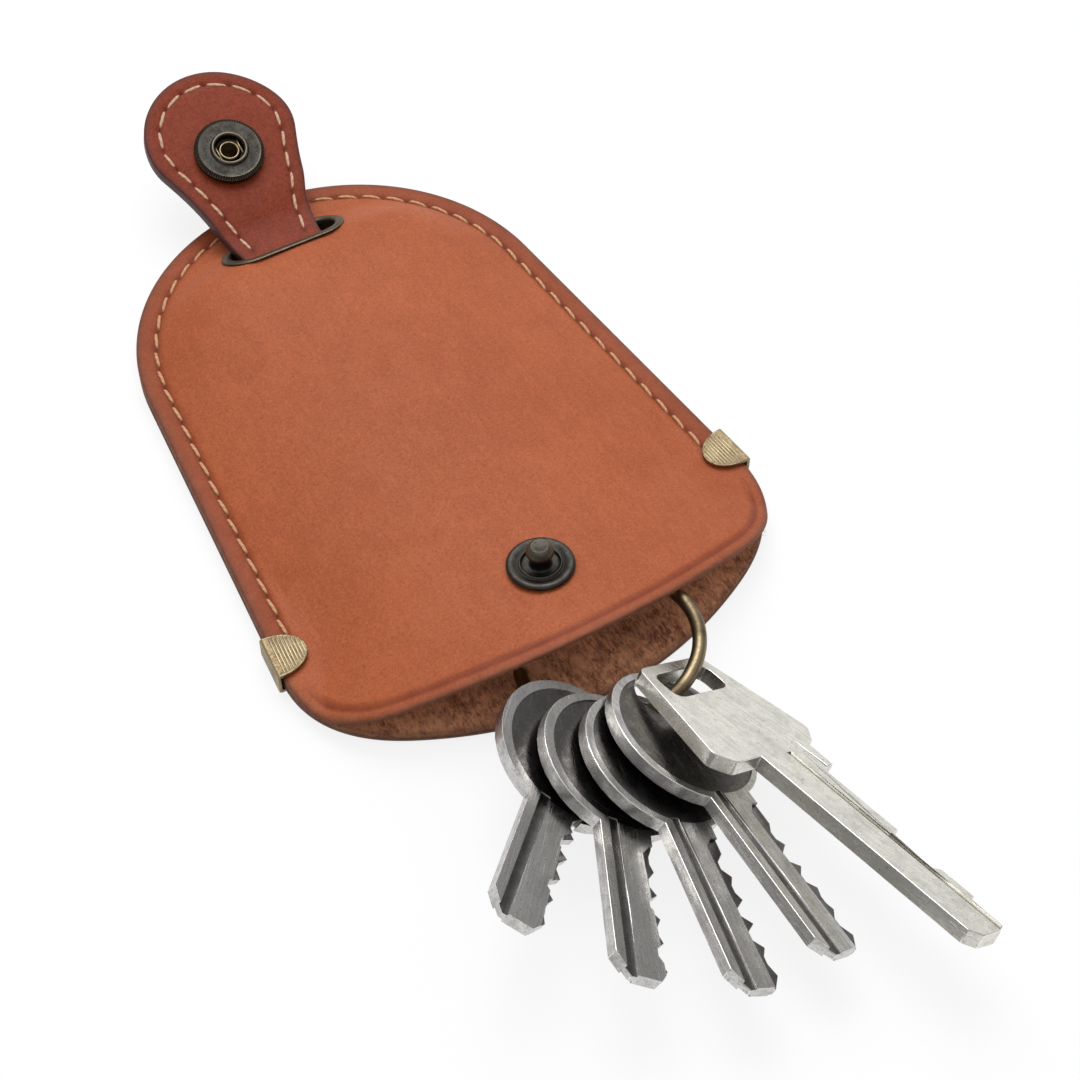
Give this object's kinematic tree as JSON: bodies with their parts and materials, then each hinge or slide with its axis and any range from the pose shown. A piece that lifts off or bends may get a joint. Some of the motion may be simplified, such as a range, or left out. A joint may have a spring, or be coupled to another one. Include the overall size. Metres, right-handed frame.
{
  "type": "leather key fob",
  "caption": "Bell-shaped leather key pouch with a pull strap through a slot, a snap tongue and stud, side clips and a ring of keys.",
  "frame": {"origin": "on the flat back face of the pouch, midway between the two side clips", "axes": "+Y from the open mouth and the keys towards the tongue, +X across the pouch, +Z out of the front panel"},
  "size_m": [0.0838, 0.2024, 0.019],
  "materials": {
    "flesh_leather": "fuzzy flesh side, matte",
    "tan_leather": "smooth vegetable-tanned grain, semi-matte",
    "dark_leather": "grained red-brown leather with painted edges",
    "clip_brass": "antique, fine ribs",
    "eyelet_metal": "dark antique",
    "stud_metal": "gunmetal plated",
    "stud_back_brass": "antique",
    "socket_metal": "gunmetal plated",
    "spring_brass": "bright wire",
    "cap_brass": "antique",
    "ring_brass": "antique, polished on top",
    "worn_steel": "worn plated steel with dark patina",
    "nickel_silver": "worn yellowish nickel silver"
  },
  "bodies": {
    "pouch": {"pouch_back": "flesh_leather", "pouch_front": "tan_leather", "clip_left": "clip_brass", "clip_right": "clip_brass", "slot_eyelet": "eyelet_metal"},
    "stud": {"stud_post": "stud_metal", "stud_back": "stud_back_brass"},
    "strap": {"strap": "dark_leather"},
    "tongue": {"tongue_face": "dark_leather", "tongue_back": "dark_leather", "snap_socket": "socket_metal", "socket_spring": "spring_brass", "snap_cap": "cap_brass"},
    "ring": {"key_ring": "ring_brass"},
    "key_a": {"key_a": "worn_steel"},
    "key_b": {"key_b": "worn_steel"},
    "key_c": {"key_c": "worn_steel"},
    "key_d": {"key_d": "worn_steel"},
    "key_e": {"key_e": "nickel_silver"}
  },
  "joints": [
    {"name": "strap_pull", "type": "slide", "parent": "pouch", "child": "strap", "axis": [-0.0236, 0.9993, 0.0292], "range_m": [0, 0.03]},
    {"name": "front_bulge", "type": "slide", "parent": "pouch", "child": "stud", "axis": [0, 0, 1], "range_m": [0, 0.0087], "deforming": ["pouch_front"]},
    {"name": "tongue_fold", "type": "hinge", "parent": "strap", "child": "tongue", "pos_m": [-0.00219, 0.08078, 0.00773], "axis": [0.9997, 0.0236, 0], "range_deg": [-22, 135]},
    {"name": "ring_swing", "type": "hinge", "parent": "strap", "child": "ring", "pos_m": [0, -0.0123, 0.0049], "axis": [1, 0, 0], "range_deg": [-25, 0]},
    {"name": "key_a_turn", "type": "hinge", "parent": "ring", "child": "key_a", "pos_m": [-0.00781, -0.0342, 0.00664], "axis": [0.4966, -0.1848, 0.8481], "range_deg": [-30, 10]},
    {"name": "key_b_turn", "type": "hinge", "parent": "ring", "child": "key_b", "pos_m": [-0.00566, -0.03723, 0.00787], "axis": [0.5286, -0.1365, 0.8378], "range_deg": [-30, 10]},
    {"name": "key_c_turn", "type": "hinge", "parent": "ring", "child": "key_c", "pos_m": [-0.00207, -0.03909, 0.00844], "axis": [0.5385, -0.0711, 0.8396], "range_deg": [-30, 10]},
    {"name": "key_d_turn", "type": "hinge", "parent": "ring", "child": "key_d", "pos_m": [0.0017, -0.03742, 0.00913], "axis": [0.5593, -0.0081, 0.8289], "range_deg": [-30, 10]},
    {"name": "key_e_turn", "type": "hinge", "parent": "ring", "child": "key_e", "pos_m": [0.00435, -0.03861, 0.01129], "axis": [0.535, 0.1611, 0.8293], "range_deg": [-3, 15]}
  ],
  "couplings": [
    {"joint": "front_bulge", "follows": "strap_pull", "ratio": 0.29}
  ]
}
